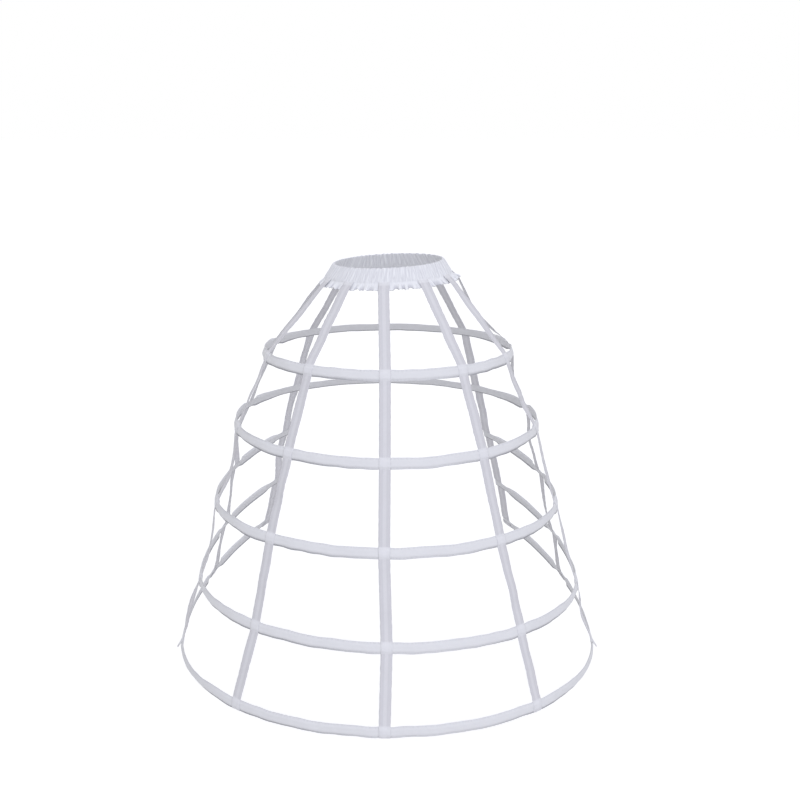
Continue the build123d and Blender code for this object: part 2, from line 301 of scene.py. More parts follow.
def stitch_mesh(name, places, forward, outward):
    """One eight-faced grain at each place: its ends lie along forward, its top and foot along outward."""
    ahead, top = forward * stitch_length / 2, outward * stitch_height / 2
    aside = unit(np.cross(outward, forward)) * stitch_width / 2
    corners = np.stack([places + step for step in (ahead, aside, -ahead, -aside, top, -top)], axis=1)
    grain = np.array([(k, (k + 1) % 4, 4) for k in range(4)] + [((k + 1) % 4, k, 5) for k in range(4)])
    faces = (np.arange(len(places))[:, None, None] * 6 + grain).reshape(-1, 3)
    vertices = corners.reshape(-1, 3)
    if inside_out(vertices, faces):
        faces = faces[:, ::-1]
    mesh = bpy.data.meshes.new(name)
    mesh.from_pydata(vertices, [], faces.tolist())
    mesh.shade_smooth()
    return add_piece(name, mesh)


def rows_at(places, at, *parts):
    """Each array of vectors read at the lengths wanted, between its own rows at the lengths in places."""
    return [np.stack([np.interp(at, places, part[:, k]) for k in range(3)], 1) for part in parts]


# %% [markdown]
# ## Hoop casings
# A casing is a flat cotton tube, 24 mm wide, stitched along both edges over a sprung strip. It could be a
# bevelled curve, but a curve has one section all along. So it is a surface of two parameters: the way
# along the hoop, and the way round a flat section. The strip raises a low plateau, the stitching pulls a
# groove at each side of it, and the cloth puckers between. Where a tape is sewn over it, it lies flat. A
# reach of -1 to 1 tells how far across the casing a point is, from its lower edge to its upper one.

# %% Casing section
casing_step = 0.0022
casing_half_columns = 19
stitch_row = 0.0096
stitch_reach = stitch_row / (casing_width / 2)
groove_reach = 0.09
groove_depth = 0.00030
shoulder = (0.48, 0.84)
strip_lift = 0.0021
inside_face = -0.00125
inside_sag = 0.0004
cloth_layers = 0.0007
soft_edge = (0.93, 1.0)
soft_edge_loss = 0.8


def outer_face(reach):
    """Height of the casing's outer cloth, at a reach from -1 to 1 of its half width.

    A plateau over the strip, a shoulder down to the stitch rows, a groove there, and a soft edge.
    """
    apart = np.abs(reach)
    plateau = strip_lift * (1 - smooth_ramp(apart, *shoulder))
    groove = groove_depth * hump(apart, stitch_reach, groove_reach)
    edge = cloth_layers * (1 - smooth_ramp(apart, *soft_edge) * soft_edge_loss)
    return inside_face + plateau + edge - groove


def casing_columns():
    """Reach of each column, from 1 to -1 over the outer cloth and back under the inner one.

    The columns crowd towards the edges, as the sine of an even angle, and the inner ones are half as many.
    The second array is 1 for the outer columns and 0 for the inner ones.
    """
    reach = np.sin(np.linspace(-np.pi / 2, np.pi / 2, casing_half_columns))
    outer, inner = reach[::-1], reach[1:-1:2]
    is_outer = np.concatenate([np.ones(len(outer)), np.zeros(len(inner))])
    return np.concatenate([outer, inner])[None, :], is_outer[None, :]


# %% Unevenness of a casing: height, wavelength and slant in metres, then a seed of its own
casing_ripples = {
    "upper_edge": (0.0004, 0.060, 0.0, 1),
    "lower_edge": (0.0004, 0.060, 0.0, 2),
    "sway": (0.0008, 0.16, 0.0, 3),
    "swell": (0.00022, 0.060, 0.008, 4),
    "pucker": (0.00020, 0.0085, 0.003, 5),
    "drag": (0.00013, 0.020, 0.007, 6),
}
casing_twist = (np.radians(1.4), 0.19, 0.0, 8)
pucker_reach = 0.30
drag_reach = 0.95
deep_pucker, middle_pucker = 0.0006, 0.5
inner_share = 0.5


def casing_cloth(place, length, seed, around, is_outer, loose):
    """Across and offset of each point of the section, and how hollow the cloth is there.

    Across is the reach times a half width that wanders. Offset is the outer or inner face, plus swells
    between the edges, puckers near the stitch rows and drag lines.
    """
    upper, lower, sway, swell, pucker, drag = (
        cloth_ripple(kind, place, length, seed, around) for kind in casing_ripples.values()
    )
    across = around * (casing_width / 2 + np.where(around > 0, upper, lower)) + sway * loose
    near_rows = hump(np.abs(around), stitch_reach, pucker_reach)
    inner_part = 1 - around**4
    pucker = pucker * near_rows
    unevenness = (swell * inner_part + pucker + drag * hump(around, 0, drag_reach)) * loose
    inner_offset = inside_face - inside_sag * (1 - around**2) + inner_share * unevenness * inner_part
    offset = np.where(is_outer > 0, outer_face(around) + unevenness, inner_offset)
    hollow = np.clip(near_rows * (middle_pucker - pucker / deep_pucker), 0, 1) * is_outer
    return across, offset, hollow


# %% Ends of a casing
overlap_edge = (2.6, 2.9)
overlap_lift = 0.0006
end_seam = 0.003
end_press = 0.75


def with_ends(hoop, angle, is_outer, offset):
    """Offset, raised at the front where a closed casing overlaps itself, or pressed at an open one's ends."""
    if hoop["closed"]:
        overlap = 1 - smooth_ramp(np.abs(np.abs(angle) - 180), *overlap_edge)
        return offset + overlap_lift * overlap[:, None] * is_outer
    to_end = hoop["end"] - np.abs(angle)
    flat_end = 1 - smooth_ramp(to_end, 0, math.degrees(end_seam / hoop["radius"]))
    return offset - end_press * flat_end[:, None] * is_outer * (offset - inside_face)


# %% [markdown]
# ### The sides of a casing
# The strip leans in with the cage, but at its sides the cloth hangs more upright than the strip: from
# behind, the real casings look narrow there. So the section twists a little, and the margins beyond the
# strip curl, the upper one out and the lower one in. Both come on with the angle from the back.

# %% How a casing turns at the sides
margin_curl = 0.0036
margin_edge = (0.50, 1.05)
side_twist = 4.5
side_start = (42, 64)
closed_stop = (112, 135)
stop_before_end = (9, 3)
root_start, root_stop = (84, 92), (101, 112)
root_loss = 0.55
tape_hold = 3.0


def side_turn(hoop, angle, sewn_places):
    """0 at the back, 1 at the sides and on the arms, where the casing hangs more upright than its strip.

    It is 0 again under the tapes, at the ends of the arms and round the front of a closed hoop. On the
    lowest hoop it is also less at the root of each arm, which hangs nearly edge-on there.
    """
    from_back = np.abs(angle)
    stop = closed_stop if hoop["closed"] else [hoop["end"] - before for before in stop_before_end]
    turned = smooth_ramp(from_back, *side_start) * (1 - smooth_ramp(from_back, *stop))
    if hoop is hoops[-1]:
        at_root = smooth_ramp(from_back, *root_start) * (1 - smooth_ramp(from_back, *root_stop))
        turned = turned * (1 - root_loss * at_root)
    return turned * (1 - under_tapes(angle, sewn_places, tape_hold * hoop["half_tape"]))


# %% Casing surface
# Painted shade on the lower edge: full at the sides, a tenth of it where the light falls straight on.
lit_angle = 8.0
lit_edge = (4, 42)
lit_shade = 0.10
under_edge = (0.62, 0.89)
press_spread = 1.5
press_part = 0.85


def lower_shade(angle, around):
    """Painted shade: 1 on the lower edge and 0 above it, but a tenth of that on the lit side of the back's
    middle.
    """
    shaded = lit_shade + (1 - lit_shade) * smooth_ramp(np.abs(angle - lit_angle), *lit_edge)
    return smooth_ramp(-around, *under_edge) * shaded[:, None]


def casing(hoop):
    """Points = centre + upward w + outward n, where w and n are the section's across and offset, turned."""
    length = math.radians(2 * hoop["end"]) * hoop["radius"]
    rows = round(length / casing_step)
    along = np.linspace(0, length, rows + 1 if hoop["closed"] else rows)
    place = along[:rows]
    angle = -hoop["end"] + np.degrees(place / hoop["radius"])
    centre, forward, upward, outward = hoop_frame(hoop, angle)
    sewn_places = [tape_angle(name, hoop["number"]) for name in tape_places]
    pressed = under_tapes(angle, sewn_places, press_spread * hoop["half_tape"])
    loose = (1 - press_part * pressed)[:, None]
    seed = 100 * hoop["number"]

    around, is_outer = casing_columns()
    across, offset, hollow = casing_cloth(place[:, None], length, seed, around, is_outer, loose)
    offset = with_ends(hoop, angle, is_outer, offset)
    turned = side_turn(hoop, angle, sewn_places)[:, None]
    margin = np.sign(around) * smooth_ramp(np.abs(around), *margin_edge)
    offset = offset + margin_curl * turned * margin
    twist = cloth_ripple(casing_twist, place[:, None], length, seed) * loose
    twist = twist + np.radians(side_twist) * turned
    points = carried(centre, upward, outward, twist, across, offset)
    # The attribute under carries the painted shade of the lower edge, and hollow that of the stitched
    # grooves.
    piece = cloth_mesh(
        f"casing_of_hoop_{hoop['number']}",
        points,
        along,
        np.broadcast_to(around * casing_width / 2, hollow.shape),
        hoop["closed"],
        hollow=hollow,
        under=lower_shade(angle, around),
    )
    outer_reach = around[0, :casing_half_columns]
    columns = [int(np.argmin(np.abs(outer_reach - side * stitch_reach))) for side in (-1, 1)]
    return piece, length, place, forward, outward, [points[:, column] for column in columns]


def casing_stitching(hoop, place, forward, outward, stitch_lines):
    """Two rows of stitches on the outer cloth, each on the column of points nearest to its stitch row."""
    at = np.arange(stitch_pitch, place[-1], stitch_pitch)
    sets = [rows_at(place, at, line, forward, outward) for line in stitch_lines]
    places, ahead, out = (np.concatenate([part[k] for part in sets]) for k in range(3))
    return stitch_mesh(f"stitching_of_hoop_{hoop['number']}", places, unit(ahead), unit(out))


# %% Make the casings
casings, casing_stitches = {}, {}
for hoop in hoops:
    number = hoop["number"]
    piece, length, place, forward, outward, stitch_lines = casing(hoop)
    stitches = casing_stitching(hoop, place, forward, outward, stitch_lines)
    casings[number], casing_stitches[number] = piece, stitches
    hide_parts(f"hoop_{number}_casing")
    print("hoop", number, "casing is", round(length, 3), "m long,", len(piece.data.polygons), "faces")

# %% [markdown]
# ## Tapes
# A tape is a flat woven ribbon. It is sewn to the waistband, lies over the frill and is stitched to each
# hoop as it passes, following the casing's rise. Between two hoops it hangs straight, or bows and twists a
# little. At the lowest hoop it folds under and up inside, but the two side tapes end in a small free flap.
# It could be a curve with a flat section, but Blender's curve twist is hard to steer, so the ribbon is a
# surface again: the way down the tape, and the way round its thin section.

# %% Waist oval
waist_places = [places[0] for places in tape_places.values()]
band_height = 0.031
frill_height = 0.0145
band_flare = 0.020
frill_flare = 0.013
band_surface = 0.00315
waist_tilt = 0.011
waist_roll = -0.011
oval_half_width = 0.125 - band_surface
oval_half_depth = 0.106 - band_surface


def waist_point(angle, z, offset):
    """Oval of half width and depth + spread(z), moved out along its normal, tilted as the waist is.

    Spread grows down the band and down the frill. Tilt and roll lift a place by -tilt cos/2 - roll sin/2.
    """
    turn = np.radians(angle)
    spread = band_flare * np.minimum(-z, band_height) / band_height
    spread = spread + frill_flare * np.maximum(0, -z - band_height) / frill_height
    wide, deep = oval_half_width + spread, oval_half_depth + spread
    zero = np.zeros(np.broadcast(turn, z, offset).shape)
    normal = unit(np.stack([np.sin(turn) / wide + zero, -np.cos(turn) / deep + zero, zero], -1))
    height = z - waist_tilt * np.cos(turn) / 2 - waist_roll * np.sin(turn) / 2
    point = np.stack([wide * np.sin(turn) + zero, -deep * np.cos(turn) + zero, height + zero], -1)
    return point + normal * (offset + zero)[..., None], normal


# %% Stations of a tape
edge_margin = 0.001
turn_up = 0.015
side_end_out = 0.0050
side_end_down = 0.0175
side_end_tilt = 0.28
tape_on_cloth = 0.0006
# Heights below the waist's top edge, and how far out the tape is there: at its end, the seam and the hem.
tape_on_band = ((-0.0270, 0.0004), (-0.0315, 0.0030), (-0.0465, 0.0056))
crossing_reach = np.array([1.02, 0.84, 0.70, 0.56, 0.30, 0.0, -0.30, -0.56, -0.70, -0.84, -1.02])
to_middle = len(crossing_reach) // 2 + 1


def steps_at_end(name, steps, half):
    """Steps over the lowest hoop: a side tape ends in a free flap, the others fold under the hoop and up."""
    if name in free_ended:
        return steps[:to_middle] + [(steps[to_middle - 1][0] + side_end_out, -side_end_down)]
    lip = half + edge_margin
    inside = inside_face - 2 * tape_on_cloth
    return steps[:-1] + [(steps[-2][0], -lip), (inside, -lip), (inside, turn_up - lip)]


def tape_stations(name):
    """Corners of the tape's middle line, its width direction there, and the slope of the hoop under it.

    Three stations lie on the band and the frill. On each hoop they follow the casing's outer face, and the
    last ones make the lower end. The slope, as a vector for each metre of width, shears the ribbon so that
    its stitches and its fold run along the hoop.
    """
    stations = []
    for z, offset in tape_on_band:
        ends = np.array([0, small_turn]) + tape_places[name][0]
        point, after = waist_point(ends, np.array(z), np.array(offset))[0]
        stations.append((point, unit(after - point), np.zeros(3)))
    crossings = []
    for hoop in hoops:
        angle = tape_angle(name, hoop["number"])
        centre, along, across, outward = hoop_frame(hoop, angle)
        turn = math.radians(angle)
        up = unit(np.cross(outward, np.array([math.cos(turn), math.sin(turn), 0.0])))
        side = np.cross(up, outward)
        half = casing_width / 2 / (across @ up)
        steps = [(float(outer_face(r)) + tape_on_cloth, r * half) for r in crossing_reach]
        if hoop is hoops[-1]:
            steps = steps_at_end(name, steps, half)
        leans = [up * (along @ up) / (along @ side)] * len(steps)
        if hoop is hoops[-1] and name in free_ended:
            leans[-1] = -np.sign(angle) * side_end_tilt * up
        crossings.append((len(stations), half))
        for (out, rise), lean in zip(steps, leans):
            stations.append((centre + outward * out + up * rise, side, lean))
    points, sides, slopes = (np.array([s[k] for s in stations]) for k in (0, 1, 2))
    return points, sides, slopes, crossings


# %% The tape's line, and what it does between two hoops
tape_step = 0.0020
line_smoothing = 0.0014
side_smoothing = 0.006
waist_seam = (0.010, 0.014)
sewn_inside, sewn_outside = 0.001, 0.002
bow_power = 1.3
twist_ends = 0.3
tape_bow = (0.0012, 0.11, 0.0, 10)
tape_twist = (3.0, 0.15, 0.0, 20)


def smooth_rows(rows, step, sigma):
    """Rows of vectors blurred along the tape by a bell curve of that sigma, with the ends held."""
    half = max(1, int(3 * sigma / step))
    weights = np.exp(-0.5 * (np.arange(-half, half + 1) * step / sigma) ** 2)
    weights /= weights.sum()
    held = np.concatenate([np.repeat(rows[:1], half, 0), rows, np.repeat(rows[-1:], half, 0)])
    blurred = np.stack([np.convolve(held[:, k], weights, "valid") for k in range(rows.shape[1])], 1)
    blurred[0], blurred[-1] = rows[0], rows[-1]
    return blurred


def span_moves(place, marks, crossings, seed, spans):
    """Bow in metres, twist in radians, where the tape is sewn down, and its bend, at each place down it.

    In a span the bow follows the sine of the way down it, and the twist is even but for its ends. Sewn is
    1 at the waistband and on each hoop, and bend is there one over the hoop's radius.
    """
    length = marks[-1]
    bow, twist, sewn, bend = np.zeros((4, len(place)))
    for i, (corner, half) in enumerate(crossings):
        start, end = marks[corner - 1], marks[corner]
        part = np.clip((place - start) / (end - start), 0, 1)
        window = np.sin(np.pi * part) ** bow_power
        broad = smooth_ramp(part, 0, twist_ends) * (1 - smooth_ramp(part, 1 - twist_ends, 1))
        span_bow, span_twist = spans.get(i, (0.0, 0.0))
        bow += window * (span_bow + cloth_ripple(tape_bow, place, length, seed + i))
        twist += broad * np.radians(span_twist + cloth_ripple(tape_twist, place, length, seed + i))
        on_hoop = np.abs(place - marks[corner] - half)
        here = 1 - smooth_ramp(on_hoop, half - sewn_inside, half + sewn_outside)
        sewn = np.maximum(sewn, here)
        bend = np.maximum(bend, here / hoops[i]["radius"])
    sewn = np.maximum(sewn, 1 - smooth_ramp(place, *waist_seam))
    return bow, twist, sewn, bend


# %% Unevenness of a tape: height, wavelength and slant in metres, then a seed of its own
tape_ripples = {
    "width": (0.00025, 0.02, 0.0, 1),
    "cup": (0.0006, 0.13, 0.0, 2),
    "wave": (0.00020, 0.019, 0.010, 3),
    "pucker": (0.00012, 0.006, 0.002, 4),
}
cloth_thickness = 0.0008
tape_columns = 11
selvedge_width = 0.0026
plain_part, selvedge_part = 0.82, 0.28
thin_edge = (0.97, 1.0)
thin_edge_loss = 0.75
selvedge_rise = 0.6
sewn_wave = 0.2
stripe_edge = (0.28, 0.40)


def tape_section(place, length, seed, free, bow, bend):
    """Across and offset of each point round the tape's thin section, and which columns are outer stripes.

    Offset is half the thickness, more at the selvedge and less at its very edge, plus a cup and waves
    where the tape is free, puckers where it is sewn, and the bow, less across²/2 times the hoop's bend.
    """
    reach = np.linspace(1, -1, tape_columns)
    w = np.concatenate([reach, reach[::-1]])[None, :]
    layer = np.concatenate([np.ones(tape_columns), -np.ones(tape_columns)])[None, :]
    width, cup, wave, pucker = (cloth_ripple(kind, place, length, seed, w) for kind in tape_ripples.values())
    margin = selvedge_width / (tape_width / 2)
    selvedge = smooth_ramp(np.abs(w), 1 - margin, 1 - selvedge_rise * margin)
    thick = cloth_thickness / 2 * (plain_part + selvedge_part * selvedge)
    thick = thick * (1 - thin_edge_loss * smooth_ramp(np.abs(w), *thin_edge))
    wave = wave * (sewn_wave + (1 - sewn_wave) * free)
    across = w * (tape_width / 2 + width)
    offset = layer * thick + cup * (1 - w * w) * free + wave + pucker * (1 - free)
    offset = offset + bow - across**2 / 2 * bend
    return across, offset, smooth_ramp(np.abs(w), *stripe_edge)


# %% Ribbon surface
def tape(name, seed, spans):
    """Ribbon through the stations: straight runs, softly bent where they meet, thin and a little cupped.

    Spans holds, for some of the runs between hoops, how far it bows out and how many degrees it twists.
    """
    corners, sides, slopes, crossings = tape_stations(name)
    marks = np.concatenate([[0], np.cumsum(np.linalg.norm(np.diff(corners, axis=0), axis=1))])
    length = marks[-1]
    rows = round(length / tape_step)
    place = np.linspace(0, length, rows)
    line, side, slope = rows_at(marks, place, corners, sides, slopes)
    line = smooth_rows(line, length / (rows - 1), line_smoothing)
    side = smooth_rows(side, tape_step, side_smoothing)
    ahead = unit(np.gradient(line, axis=0))
    side = unit(side - ahead * (ahead * side).sum(-1, keepdims=True))
    out = np.cross(ahead, side)

    moves = span_moves(place, marks, crossings, seed, spans)
    bow, twist, sewn, bend = (move[:, None] for move in moves)
    across, offset, outer_stripe = tape_section(place[:, None], length, seed, 1 - sewn, bow, bend)
    points = carried(line, side, out, twist, across, offset) + slope[:, None] * across[..., None]
    marked = {"outer_stripe": outer_stripe, "sewn": sewn}
    piece = cloth_mesh(f"cotton_tape_{name}", points, place, across, False, **marked)
    stitches = tape_stitching(name, place, (line, side, out, slope), marks, crossings)
    return piece, stitches, length


# %% Stitches across a tape
waist_rows_at = (0.0065, 0.0095)
over_rise = 1.02
stitch_margin = 0.002


def tape_stitching(name, place, lines, marks, crossings):
    """Rows of stitches across the tape: two over each hoop and two where it is sewn to the waistband.

    The middle of a hoop is half the way over its casing, whose rise makes that way 2% longer.
    """
    rows = list(waist_rows_at)
    for corner, half in crossings:
        middle = marks[corner] + half * crossing_reach[0] * over_rise
        rows += [middle - stitch_row, middle + stitch_row]
    if name in free_ended:
        rows = rows[:-1]
    across = np.arange(-tape_width / 2 + stitch_margin, (tape_width - stitch_margin) / 2, stitch_pitch)
    at, w = (grid.ravel() for grid in np.meshgrid(rows, across, indexing="ij"))
    line, side, out, slope = rows_at(place, at, *lines)
    places = line + (side + slope) * w[:, None] + out * cloth_thickness / 2
    return stitch_mesh(f"stitching_of_tape_{name}", places, unit(side + slope), unit(out))


# %% Make the tapes
# By the number of the span, 0 above the first hoop: how far it bows out in metres, its twist in degrees.
span_bows = {
    "side_left": {0: (0.0, -6), 1: (0.001, 5), 2: (-0.011, -4), 3: (-0.006, -6), 4: (0.005, -16)},
    "side_right": {0: (0.0, 8), 1: (-0.004, 6), 2: (-0.002, 3), 3: (-0.002, 6), 4: (-0.006, 8)},
    "flank_left": {1: (0.0, -5), 2: (0.013, -3), 3: (0.0, -8), 4: (0.0, -5)},
    "flank_right": {0: (-0.016, -9), 1: (-0.010, 5), 2: (-0.006, 6), 3: (-0.004, 5), 4: (-0.002, 8)},
    "front_left": {1: (0.002, -10), 2: (0.004, -8), 3: (0.006, -6)},
    "back_left": {0: (0.0, -2), 2: (0.001, 4), 4: (0.001, -3)},
    "back_right": {0: (0.0, 3), 3: (0.001, -4)},
}
ribbons = {}
for i, name in enumerate(tape_places):
    piece, stitches, length = tape(name, 1000 + 100 * i, span_bows.get(name, {}))
    ribbons[name] = (piece, stitches)
    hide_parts(f"tape_{name}")
    print("tape", name, "is", round(length, 3), "m long,", len(piece.data.polygons), "faces")

# %% [markdown]
# ## Waistband and frill
# The band is a tube of cotton drawn up on a flat elastic: about half as much cloth again as waist, so it
# falls into small uneven gathers that split and merge. Below the seam the same cloth runs on as a frill,
# whose ruffles open towards its free edge. Cloth simulation could gather it, but hundreds of folds a few
# millimetres wide need millions of points. So the folds are a formula: ridges across a phase that runs
# round the oval and wanders, with sharp valleys and rounded crests.

# %% Unevenness round the waist: size, number of waves and slant, then a seed of its own
waist_ripples = {
    "wander": (1.3, 23, 0.0, 0),
    "fine_wander": (0.8, 61, 0.0, 1),
    "leaning_wander": (0.7, 47, 0.014, 2),
    "strength": (0.34, 80, 0.008, 3),
    "rim": (0.0007, 60, 0.0, 31),
    "swell": (0.0006, 17, 0.020, 32),
    "ruffle_wander": (0.55, 21, 0.0, 51),
    "lower_wander": (0.12, 15, 0.0, 52),
    "crease": (0.0006, 120, 0.003, 53),
    "ruffle_size": (0.40, 13, 0.0, 54),
    "hem": (0.0013, 33, 0.0, 55),
}


def waist_ripple(name, turn, reach=0.0, seed=0):
    """Size times a ripple of that many waves, where turn is 0 to 1 round the waist; it leans with reach."""
    size, waves, slant, own_seed = waist_ripples[name]
    return size * ripple(turn, 1.0, 1 / waves, seed + own_seed, slant * reach)


# %% Gathers
gather_count = 168
gather_depth = 0.0013
gather_sharpness = 0.75
usual_strength = 0.66
outer_seed, inner_seed = 7, 207


def gathers(turn, depth, seed):
    """Ridges of height 0 to 1 round the waist. Turn is 0 to 1 and depth is 0 to 1 from the top edge down.

    The phase is the gather count times turn, plus wandering parts that lean and spread the folds.
    """
    wander = waist_ripple("wander", turn, 0, seed) + waist_ripple("fine_wander", turn, 0, seed)
    wander = wander + waist_ripple("leaning_wander", turn, depth, seed)
    ridge = np.abs(np.sin(np.pi * (gather_count * turn + wander / 2))) ** gather_sharpness
    strength = usual_strength + waist_ripple("strength", turn, depth, seed)
    return np.clip(ridge * strength, 0, 1)


# %% Ruffles of the frill
ruffle_count = 54
ruffle_swing = 0.0044
ruffle_slide = 0.30
ruffle_lift = 0.0022
usual_size = 0.80
opening_edge = (-0.1, 1.0)
crease_edge = (0, 0.2)
crease_fade = 0.5


def ruffles(turn, down):
    """Swing out, slide sideways and lift of the frill, in metres, at a part from 0 to 1 down it.

    Swing is a sine of a wandering phase. The slide, a sine of twice that phase, rounds the crests and
    tucks the sides in. What a ruffle swings out, its free edge lifts.
    """
    wander = waist_ripple("ruffle_wander", turn) + down * waist_ripple("lower_wander", turn)
    phase = ruffle_count * turn + wander
    size = ruffle_swing * (usual_size + waist_ripple("ruffle_size", turn))
    opening = smooth_ramp(down, *opening_edge)
    swing = size * np.sin(2 * np.pi * phase) * opening
    slide = -ruffle_slide * size * np.sin(4 * np.pi * phase) * opening
    creases = waist_ripple("crease", turn, down) * (1 - crease_fade * down)
    lift = ruffle_lift * (1 - np.cos(4 * np.pi * phase)) / 2 + waist_ripple("hem", turn)
    return swing + creases * smooth_ramp(down, *crease_edge), slide, lift * opening


print("round the waist there are", gather_count, "gathers and", ruffle_count, "ruffles")

# %% Section of the band and frill
waist_rows = 1620
waist_half_columns = 26
wall = 0.00185
frill_wall = 0.00035
hem_closing = 0.3
seam_depth = 0.0285
pinch_edge = (seam_depth - 0.003, band_height + 0.002)
rim = 0.0016
rim_columns = 5
crowding = 0.035


def waist_outline():
    """Distances below the top edge for the columns: close together at the rim, the seam and the hem."""
    total = band_height + frill_height
    even = np.linspace(0, 1, waist_half_columns)
    at_rim = rim * np.sin(np.linspace(0, np.pi / 2, rim_columns)[:-1]) ** 2
    uneven = even[1:] - crowding * np.sin(2 * np.pi * even[1:])
    return np.concatenate([at_rim, rim + (total - rim) * uneven])


def half_wall(below, pinch):
    """Half the thickness: the wall in the band, thin in the frill, round at the rim, and least at the hem."""
    round_rim = np.sqrt(1 - (1 - np.clip(below / rim, 0, 1)) ** 2)
    at_hem = below >= below.max() - 1e-9
    return (wall + (frill_wall - wall) * pinch) * round_rim * np.where(at_hem, hem_closing, 1.0)


# %% Band and frill surface
band_cloth_length = 1.15
press_angle = 10.0
pressed_out = 0.0012
lift_loss = 0.7
rim_gather, rim_edge = 0.35, (0, 0.004)
uneven_edge = (0, 0.015)
frill_gather, middle_ridge = 0.8, 0.5
fold_loss, fold_edge = 0.9, (0, 0.8)
flip_angle, flip_spread = 86.0, 30
flip_out, flip_up = 0.0085, 0.45
deep_tuck, tuck_middle = 0.0045, 0.46
tuck_shade, tuck_growth = 0.3, 1.3


def gathered_waistband():
    """Two faces round a middle surface: apart by the wall in the band, together in the frill.

    In the band each face has its own ridges. In the frill both follow the ruffles of the middle surface,
    which the tapes press flat, and which flips up at one side. Points = oval at that height + normal
    offset + sideways slide.
    """
    outline = waist_outline()
    inner_outline = outline[::-1][1:-1]
    below = np.concatenate([outline, inner_outline])[None, :]
    face = np.concatenate([np.ones(len(outline)), -np.ones(len(inner_outline))])[None, :]
    turn = (np.arange(waist_rows) / waist_rows)[:, None]
    angle = 360 * turn
    level = below / band_height
    down = np.clip((below - band_height) / frill_height, 0, 1)
    pinch = smooth_ramp(below, *pinch_edge)
    pressed = under_tapes(angle, waist_places, press_angle)

    outer_ridge = gathers(turn, level, outer_seed)
    ridge = np.where(face > 0, outer_ridge, gathers(turn, level, inner_seed))
    under_rim = rim_gather + (1 - rim_gather) * smooth_ramp(below, *rim_edge)
    on_band = gather_depth * ridge * under_rim * (1 - pinch)
    fading = 1 - fold_loss * smooth_ramp(down, *fold_edge)
    on_frill = frill_gather * gather_depth * (outer_ridge - middle_ridge) * pinch * fading
    swing, slide, lift = ruffles(turn, down)
    swing = swing * (1 - press_part * pressed) + pressed_out * pressed * down
    flip = flip_out * hump((angle + 180) % 360 - 180, flip_angle, flip_spread)
    flip = flip * smooth_ramp(down, 0, 1) * (1 - pressed)
    swell = waist_ripple("swell", turn, level) * (1 - pressed)
    uneven_rim = waist_ripple("rim", turn) * (1 - smooth_ramp(below, *uneven_edge))

    offset = face * (half_wall(below, pinch) + on_band) + on_frill + swing + flip + swell
    height = -below + uneven_rim + (lift + flip_up * flip) * (1 - lift_loss * pressed)
    points, normal = waist_point(angle, height, offset)
    tangent = np.stack([-normal[..., 1], normal[..., 0], np.zeros_like(normal[..., 0])], -1)
    points = points + tangent * (slide * (1 - pressed))[..., None]
    # Painted shade: in the band the valleys between gathers; in the frill the tucks between ruffles and all
    # its inner face, more towards the hem.
    tucked = np.where(face > 0, np.clip(tuck_middle - swing / deep_tuck, 0, 1), 1.0)
    tucked = (tuck_shade + tuck_growth * down) * tucked
    valley = (1 - ridge) * (1 - pinch) + pinch * tucked
    along = np.linspace(0, band_cloth_length, waist_rows + 1)
    across = np.broadcast_to(-below, offset.shape)
    piece = cloth_mesh("gathered_waistband", points, along, across, True, valley=valley)
    seam = int(np.argmin(np.abs(outline - seam_depth)))
    return piece, points[:, seam], normal[:, seam], tangent[:, seam]


# %% Seam under the elastic
stitch_rise = 0.0001


def seam_stitching(line, normal, tangent):
    """One row of stitches round the waist under the elastic, at an even pitch along the seam's line."""
    closed = [np.concatenate([part, part[:1]]) for part in (line, normal, tangent)]
    gone = np.concatenate([[0], np.cumsum(np.linalg.norm(np.diff(closed[0], axis=0), axis=1))])
    at = np.arange(0, gone[-1], stitch_pitch)
    places, out, ahead = rows_at(gone, at, *closed)
    return stitch_mesh("stitching_of_waistband", places + stitch_rise * out, unit(ahead), unit(out))


# %% Make the waistband
band, seam_line, seam_normal, seam_tangent = gathered_waistband()
band_stitches = seam_stitching(seam_line, seam_normal, seam_tangent)
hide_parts("waistband_casing")
print("band and frill have", len(band.data.polygons), "faces")

# %% [markdown]
# ## Finishes
# Everything that shows is undyed white cotton in three makes: gathered lawn, plain-woven casing and
# herringbone tape. White cloth has little colour of its own, so its look is in the weave's bump, a soft
# sheen at grazing light, and slightly cooler, darker folds, deepened by painted shade in their hollows.

# %% Node helpers
sheen_roughness = 0.45


def linear(hex_colour):
    """sRGB hex value to the linear colour that a shader reads."""
    parts = [int(hex_colour[k : k + 2], 16) / 255 for k in (1, 3, 5)]
    return [p / 12.92 if p <= 0.04045 else ((p + 0.055) / 1.055) ** 2.4 for p in parts] + [1.0]


def add_node(tree, kind, inputs=(), **settings):
    """New shader node of a kind, with its settings, and each input set to a value or linked to an output."""
    node = tree.nodes.new("ShaderNode" + kind)
    for key, value in settings.items():
        setattr(node, key, value)
    for key, value in dict(inputs).items():
        if isinstance(value, bpy.types.NodeSocket):
            tree.links.new(value, node.inputs[key])
        else:
            node.inputs[key].default_value = value
    return node


def new_finish(name, roughness, sheen=0.0, metallic=0.0):
    """Material with a plain principled shader, and that shader."""
    material = bpy.data.materials.new(name)
    material.use_nodes = True
    shader = material.node_tree.nodes["Principled BSDF"]
    shader.inputs["Roughness"].default_value = roughness
    shader.inputs["Metallic"].default_value = metallic
    shader.inputs["Sheen Weight"].default_value = sheen
    shader.inputs["Sheen Roughness"].default_value = sheen_roughness
    return material, shader


def layered(tree, colour, *layers):
    """A colour under layers, each a part from 0 to 1 and the hex colour that shows where that part is 1.

    Inputs 6 and 7 of a Mix node that works on colours are its two colours.
    """
    for part, hex_colour in layers:
        inputs = {0: part, 6: colour, 7: linear(hex_colour)}
        colour = add_node(tree, "Mix", inputs, data_type="RGBA").outputs[2]
    return colour


